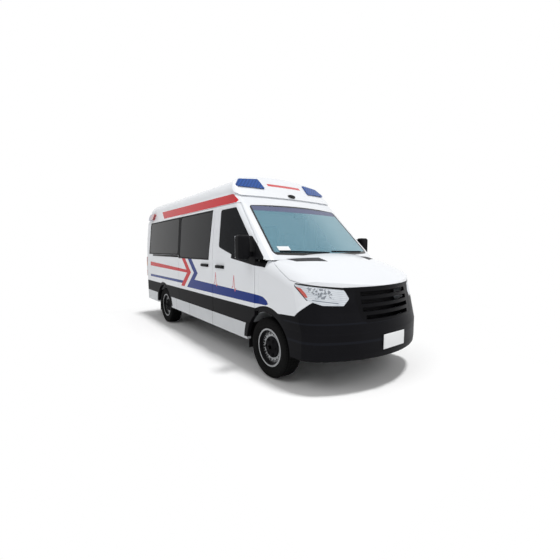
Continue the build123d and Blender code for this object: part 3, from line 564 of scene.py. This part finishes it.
for look, names in LOOKS.items():
    for name in names:
        dress(name, look)
for end, x in AXLES:
    for name, side in SIDES:
        dress(f"tyre_{end}_{name}", tyre_look(f"tyre_rubber_{end}_{name}", x, side))
        dress(f"rim_{end}_{name}", rim_look(f"wheel_paint_{end}_{name}", x))


# Shapes that the scene adds

def from_bmesh(name, form, look, body, smooth=True):
    mesh = bpy.data.meshes.new(name)
    form.to_mesh(mesh)
    form.free()
    if smooth:
        for face in mesh.polygons:
            face.use_smooth = True
    obj = bpy.data.objects.new(name, mesh)
    scene.collection.objects.link(obj)
    mesh.materials.append(look)
    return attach(obj, body)


def soft_box(form, low, high, bevel, turn=None):
    """Adds a box with rounded edges between two corners to a bmesh."""
    centre = (Vector(low) + Vector(high)) / 2
    size = Vector(high) - Vector(low)
    part = bmesh.new()
    bmesh.ops.create_cube(part, size=1.0)
    bmesh.ops.scale(part, vec=size, verts=part.verts)
    edges = part.edges[:] + part.verts[:]
    bmesh.ops.bevel(part, geom=edges, offset=bevel, segments=3, profile=0.5, affect="EDGES")
    place = Matrix.Translation(centre) @ (turn or Matrix.Identity(4))
    bmesh.ops.transform(part, matrix=place, verts=part.verts)
    mesh = bpy.data.meshes.new("soft_box")
    part.to_mesh(mesh)
    part.free()
    form.from_mesh(mesh)
    bpy.data.meshes.remove(mesh)


def boxes(name, specs, look, body):
    """One piece made of soft boxes: low corner, high corner and radius of the edges of each."""
    form = bmesh.new()
    for low, high, bevel in specs:
        soft_box(form, low, high, bevel)
    return from_bmesh(name, form, look, body)


def block(xs, ys, zs, bevel):
    """Corners and edge radius of a soft box, from its extents."""
    return (xs[0], ys[0], zs[0]), (xs[1], ys[1], zs[1]), bevel


def lathe(form, profile, centre, side, steps):
    """Adds a ring turned about the Y axis: profile rows are radius, distance outboard."""
    rings = []
    for radius, out in profile:
        ring = []
        for i in range(steps):
            a = 2 * math.pi * i / steps
            ring.append(form.verts.new((centre[0] + radius * math.cos(a), centre[1] + side * out,
                                        centre[2] + radius * math.sin(a))))
        rings.append(ring)
    for inner, outer in zip(rings, rings[1:]):
        for i in range(steps):
            j = (i + 1) % steps
            corners = (inner[i], inner[j], outer[j], outer[i])
            form.faces.new(corners if side > 0 else corners[::-1])
    form.faces.new(rings[-1] if side < 0 else rings[-1][::-1])


def skinned(rings):
    """A closed bmesh over rings that have the same number of points."""
    form = bmesh.new()
    rows = [[form.verts.new(point) for point in ring] for ring in rings]
    for lower, upper in zip(rows, rows[1:]):
        for i in range(len(lower)):
            j = (i + 1) % len(lower)
            form.faces.new((lower[i], lower[j], upper[j], upper[i]))
    form.faces.new(rows[0])
    form.faces.new(rows[-1])
    bmesh.ops.recalc_face_normals(form, faces=form.faces)
    return form


# Wheel caps, each with a raised boss and a ring of nut covers
CAP_PROFILE = [(0.126, 0.044), (0.125, 0.056), (0.116, 0.064), (0.070, 0.068), (0.064, 0.080), (0.030, 0.084)]
NUT_PROFILE = [(0.015, 0.060), (0.014, 0.078), (0.008, 0.082)]
NUTS, NUT_R = 6, 0.094
for end, x in AXLES:
    for name, side in SIDES:
        form = bmesh.new()
        lathe(form, CAP_PROFILE, (x, side * WHEEL_Y, AXLE_Z), side, steps=48)
        for i in range(NUTS):
            a = 2 * math.pi * i / NUTS
            at = (x + NUT_R * math.cos(a), side * WHEEL_Y, AXLE_Z + NUT_R * math.sin(a))
            lathe(form, NUT_PROFILE, at, side, steps=12)
        from_bmesh(f"wheel_cap_{end}_{name}", form, black_plastic, f"wheel_{end}_{name}")

# Handles and mirror faces of the front doors: extents in X, outwards and in Z
HANDLE_X, HANDLE_OUT, HANDLE_Z = (0.684, 0.926), (0.985, 1.022), (1.238, 1.282)
MIRROR_X, MIRROR_OUT, MIRROR_Z = (1.556, 1.563), (1.052, 1.176), (1.405, 1.665)
for name, side in SIDES:
    handle = block(HANDLE_X, sorted(side * out for out in HANDLE_OUT), HANDLE_Z, 0.012)
    boxes(f"front_door_handle_{name}", [handle], black_plastic, f"front_door_{name}")
    face = block(MIRROR_X, sorted(side * out for out in MIRROR_OUT), MIRROR_Z, 0.003)
    boxes(f"mirror_face_{name}", [face], mirror_glass, f"front_door_{name}")

# Fittings of the sliding door and of the rear doors
SLIDING_HANDLE = [((0.179, -1.022, 1.242), (0.422, -0.985, 1.286), 0.012)]
REAR_HANDLE = [((-2.962, -0.09, 1.05), (-2.936, -0.03, 1.20), 0.010)]
DOOR_RAIL = [((-2.40, -1.004, 1.362), (-0.87, -0.984, 1.398), 0.006)]
boxes("sliding_door_handle", SLIDING_HANDLE, black_plastic, "body")
boxes("rear_door_handle", REAR_HANDLE, black_plastic, "rear_door_right")
boxes("sliding_door_rail", DOOR_RAIL, gloss_black, "body")

# Closing panels between the front doors and the fenders: height, Y at the door, Y at the fender
POST_DOOR_X, POST_FENDER_X, POST_INNER_Y = 1.7125, 1.7765, 0.928
POST_ROWS = [(0.772, 1.0008, 0.9868), (0.90, 1.0012, 0.9868), (1.05, 1.0000, 0.9868), (1.20, 0.9966, 0.9868),
             (1.27, 0.9942, 0.9862), (1.30, 0.9930, 0.9815), (1.33, 0.9919, 0.9695), (1.362, 0.9905, 0.9490)]
for name, side in SIDES:
    rings = []
    for z, at_door, at_fender in POST_ROWS:
        corners = ((POST_DOOR_X, POST_INNER_Y), (POST_DOOR_X, at_door),
                   (POST_FENDER_X, at_fender), (POST_FENDER_X, POST_INNER_Y))
        rings.append([(x, side * y, z) for x, y in corners])
    from_bmesh(f"door_post_panel_{name}", skinned(rings), paint, "body", smooth=False)

# Under the bonnet: a ribbed cover with a filler cap on the engine, an air box and a battery at its sides
RIB_YS, RIB_HALF = (-0.18, -0.09, 0.0, 0.09, 0.18), 0.013
ENGINE_COVER = [((2.00, -0.262, 1.086), (2.545, 0.262, 1.124), 0.012),
                ((2.462, 0.192, 1.118), (2.522, 0.252, 1.150), 0.018)]
ENGINE_COVER += [((2.04, y - RIB_HALF, 1.118), (2.43, y + RIB_HALF, 1.136), 0.006) for y in RIB_YS]
AIR_BOX = [((2.28, 0.275, 0.82), (2.555, 0.55, 0.985), 0.025),
           ((2.295, 0.290, 0.978), (2.540, 0.535, 1.030), 0.02)]
BATTERY = [((2.27, -0.52, 0.83), (2.53, -0.276, 1.000), 0.010),
           ((2.275, -0.515, 0.996), (2.525, -0.281, 1.018), 0.006)]
boxes("engine_cover", ENGINE_COVER, dash_plastic, "body")
boxes("air_box", AIR_BOX, black_plastic, "body")
boxes("battery", BATTERY, vinyl, "body")

# The sill closes the step between the load floor and the rear bumper, and both plates are blank
REAR_SILL = [((-2.882, -0.862, 0.45), (-2.868, 0.862, 0.641), 0.002)]
FRONT_PLATE = [((2.962, -0.188, 0.447), (2.972, 0.188, 0.607), 0.004)]
REAR_PLATE = [((-2.972, -0.26, 0.43), (-2.962, 0.26, 0.54), 0.004)]
boxes("rear_sill", REAR_SILL, black_plastic, "body")
boxes("front_plate", FRONT_PLATE, plate_white, "body")
boxes("rear_plate", REAR_PLATE, plate_white, "body")

# The windscreen's outside: a point on its middle line, its rake and its bow across the vehicle
SCREEN_X, SCREEN_Z, SCREEN_RAKE, SCREEN_BOW = 2.020, 1.437, 1.02, 7.8


def on_screen(y, z, lift):
    """A point on the windscreen, lifted off it."""
    normal = Vector((1.0, y / (SCREEN_BOW / 2), SCREEN_RAKE)).normalized()
    return Vector((SCREEN_X - SCREEN_RAKE * (z - SCREEN_Z) - y * y / SCREEN_BOW, y, z)) + normal * lift


def tube(name, points, radius, look, body):
    curve = bpy.data.curves.new(name, "CURVE")
    curve.dimensions = "3D"
    curve.bevel_depth = radius
    curve.bevel_resolution = 3
    spline = curve.splines.new("POLY")
    spline.points.add(len(points) - 1)
    for point, at in zip(spline.points, points):
        point.co = (*at, 1.0)
    curve.materials.append(look)
    obj = bpy.data.objects.new(name, curve)
    scene.collection.objects.link(obj)
    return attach(obj, body)


# Wipers that lie on the glass: Y and Z of the foot and of the tip
WIPERS = [("wiper_right", (-0.02, 1.464), (-0.76, 1.486)), ("wiper_left", (0.70, 1.472), (0.04, 1.478))]
WIPER_STEPS, WIPER_LIFT, WIPER_R = 8, 0.003, 0.008
for name, foot, tip in WIPERS:
    points = []
    for i in range(WIPER_STEPS + 1):
        t = i / WIPER_STEPS
        y = foot[0] + (tip[0] - foot[0]) * t
        z = foot[1] + (tip[1] - foot[1]) * t
        points.append(on_screen(y, z, WIPER_LIFT))
    tube(name, points, WIPER_R, gloss_black, "body")

# A blank card on the outside of the glass, in its lower corner, and the inner mirror behind the glass
CARD, CARD_LIFTS = [(-0.76, 1.497), (-0.60, 1.497), (-0.60, 1.545), (-0.76, 1.545)], (-0.001, -0.0044)
INNER_MIRROR = [((1.380, -0.12, 1.940), (1.408, 0.12, 2.003), 0.012),
                ((1.402, -0.014, 1.982), (1.427, 0.014, 2.006), 0.004)]
card_rings = [[on_screen(y, z, lift) for y, z in CARD] for lift in CARD_LIFTS]
from_bmesh("screen_card", skinned(card_rings), plate_white, "body", smooth=False)
boxes("inner_mirror", INNER_MIRROR, gloss_black, "body")

# Cab seats with soft edges, on plain bases and with two rods under each headrest: low Y and high Y of each
SEATS = [("driver", 0.18, 0.68), ("middle", -0.42, -0.02), ("passenger", -0.821, -0.421)]
SEAT_GAP, SEAT_BEVEL = 0.004, 0.045
CUSHION_X, CUSHION_Z = (0.69, 1.18), (0.80, 0.945)
BACK_X, BACK_Z, BACK_LEAN = (0.61, 0.735), (0.90, 1.56), Matrix.Rotation(math.radians(-11), 4, "Y")
HEAD_X, HEAD_Z, HEAD_HALF, HEAD_BEVEL = (0.545, 0.635), (1.58, 1.76), 0.13, 0.035
BASE_X, BASE_Z, BASE_INSET, BASE_BEVEL = (0.72, 1.12), (0.642, 0.81), 0.06, 0.01
ROD_X, ROD_Z, ROD_BEVEL = (0.585, 0.600), (1.53, 1.60), 0.004
ROD_NEAR, ROD_FAR = 0.045, 0.06
bases = []
for name, y0, y1 in SEATS:
    mid = (y0 + y1) / 2
    width = (y0 + SEAT_GAP, y1 - SEAT_GAP)
    form = bmesh.new()
    soft_box(form, *block(CUSHION_X, width, CUSHION_Z, SEAT_BEVEL))
    seat = from_bmesh(f"seat_cushion_{name}", form, fabric, "body")
    form = bmesh.new()
    soft_box(form, *block(BACK_X, width, BACK_Z, SEAT_BEVEL), BACK_LEAN)
    back = from_bmesh(f"seat_back_{name}", form, fabric, "body")
    form = bmesh.new()
    soft_box(form, *block(HEAD_X, (mid - HEAD_HALF, mid + HEAD_HALF), HEAD_Z, HEAD_BEVEL), BACK_LEAN)
    head = from_bmesh(f"headrest_{name}", form, fabric, "body")
    bases.append(block(BASE_X, (y0 + BASE_INSET, y1 - BASE_INSET), BASE_Z, BASE_BEVEL))
    bases.append(block(ROD_X, (mid - ROD_FAR, mid - ROD_NEAR), ROD_Z, ROD_BEVEL))
    bases.append(block(ROD_X, (mid + ROD_NEAR, mid + ROD_FAR), ROD_Z, ROD_BEVEL))
seat_bases = boxes("seat_bases", bases, dash_plastic, "body")
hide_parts("cab_seats")


# Floor, light and camera. The floor takes the shadow near the vehicle and is plain white further out.
FLOOR_HALF, FLOOR_TONE = 120.0, (0.95, 0.95, 0.95)
NEAR_X, NEAR_Y, FADE_FROM, FADE_TO = 3.0, 1.05, 0.25, 1.1
SEEN_RAYS = ("Is Camera Ray", "Is Glossy Ray", "Is Transmission Ray")
FILL = 0.34


def seen_rays(tree):
    """1 on the rays that show the background, 0 on those that only light the object."""
    path = tree.nodes.new("ShaderNodeLightPath")
    result = path.outputs[SEEN_RAYS[0]]
    for name in SEEN_RAYS[1:]:
        node = tree.nodes.new("ShaderNodeMath")
        node.operation = "MAXIMUM"
        tree.links.new(result, node.inputs[0])
        tree.links.new(path.outputs[name], node.inputs[1])
        result = node.outputs[0]
    return result


def floor_look():
    shade = Shade("pale_floor", FLOOR_TONE, rough=0.95, specular=0.0)
    links = shade.tree.links
    out_x = shade.math("SUBTRACT", shade.math("ABSOLUTE", shade.x), NEAR_X)
    out_y = shade.math("SUBTRACT", shade.math("ABSOLUTE", shade.y), NEAR_Y)
    fade = shade.ramp(shade.math("MAXIMUM", out_x, out_y), FADE_FROM, FADE_TO)
    glow = shade.tree.nodes.new("ShaderNodeEmission")
    blend = shade.tree.nodes.new("ShaderNodeMixShader")
    links.new(shade.math("MULTIPLY", fade, seen_rays(shade.tree)), blend.inputs[0])
    links.new(shade.bsdf.outputs[0], blend.inputs[1])
    links.new(glow.outputs[0], blend.inputs[2])
    links.new(blend.outputs[0], shade.tree.nodes["Material Output"].inputs[0])
    return shade.mat


ground = bpy.data.meshes.new("ground")
floor_corners = [(FLOOR_HALF * u, FLOOR_HALF * v, 0) for u, v in ((-1, -1), (1, -1), (1, 1), (-1, 1))]
ground.from_pydata(floor_corners, [], [(0, 1, 2, 3)])
ground.materials.append(floor_look())
ground_obj = bpy.data.objects.new("ground", ground)
scene.collection.objects.link(ground_obj)

# The world is white where it is seen and lights the object at the fill's strength
world = bpy.data.worlds.new("studio")
scene.world = world
world.use_nodes = True
tree = world.node_tree
background = tree.nodes["Background"]
background.inputs["Color"].default_value = (1.0, 1.0, 1.0, 1.0)
strength = tree.nodes.new("ShaderNodeMath")
strength.operation = "MULTIPLY_ADD"
strength.inputs[1].default_value = 1.0 - FILL
strength.inputs[2].default_value = FILL
tree.links.new(seen_rays(tree), strength.inputs[0])
tree.links.new(strength.outputs[0], background.inputs["Strength"])


def area(name, place, aim, size, power):
    lamp = bpy.data.lights.new(name, "AREA")
    lamp.shape = "RECTANGLE"
    lamp.size, lamp.size_y = size
    lamp.energy = power
    obj = bpy.data.objects.new(name, lamp)
    obj.location = place
    obj.rotation_euler = (Vector(aim) - Vector(place)).to_track_quat("-Z", "Y").to_euler()
    scene.collection.objects.link(obj)


area("key", place=(2.5, -7.0, 9.0), aim=(0.0, 0.0, 1.2), size=(5.0, 5.0), power=170.0)
area("front", place=(10.0, 1.0, 7.5), aim=(1.5, 0.0, 1.2), size=(5.0, 5.0), power=160.0)

OVERHEAD_POWER, OVERHEAD_SPREAD = 1.95, math.radians(9.0)
OVERHEAD_TILT = (math.radians(-6.0), math.radians(8.0), 0.0)
overhead = bpy.data.lights.new("overhead", "SUN")
overhead.energy = OVERHEAD_POWER
overhead.angle = OVERHEAD_SPREAD
overhead_obj = bpy.data.objects.new("overhead", overhead)
overhead_obj.rotation_euler = OVERHEAD_TILT
scene.collection.objects.link(overhead_obj)

# The camera: its place, the angles of its aim in radians, and its focal length in pixels of the frame
CAMERA_AT = (4.9366, -3.0834, 1.5164)
AZIMUTH, ELEVATION, ROLL = 2.4885, -0.0976, -0.0012
FOCAL_PX, FRAME_PX, SENSOR_MM = 320.35, 560.0, 36.0
flat = math.cos(ELEVATION)
aim = Vector((flat * math.cos(AZIMUTH), flat * math.sin(AZIMUTH), math.sin(ELEVATION)))
level_right = aim.cross(Vector((0, 0, 1))).normalized()
level_up = level_right.cross(aim)
right = level_right * math.cos(ROLL) + level_up * math.sin(ROLL)
up = level_up * math.cos(ROLL) - level_right * math.sin(ROLL)
camera_data = bpy.data.cameras.new("camera")
camera_data.sensor_width = SENSOR_MM
camera_data.lens = SENSOR_MM * FOCAL_PX / FRAME_PX
camera = bpy.data.objects.new("camera", camera_data)
turn = Matrix((right, up, -aim)).transposed().to_4x4()
camera.matrix_world = Matrix.Translation(CAMERA_AT) @ turn
scene.collection.objects.link(camera)
scene.camera = camera

bpy.context.view_layer.update()
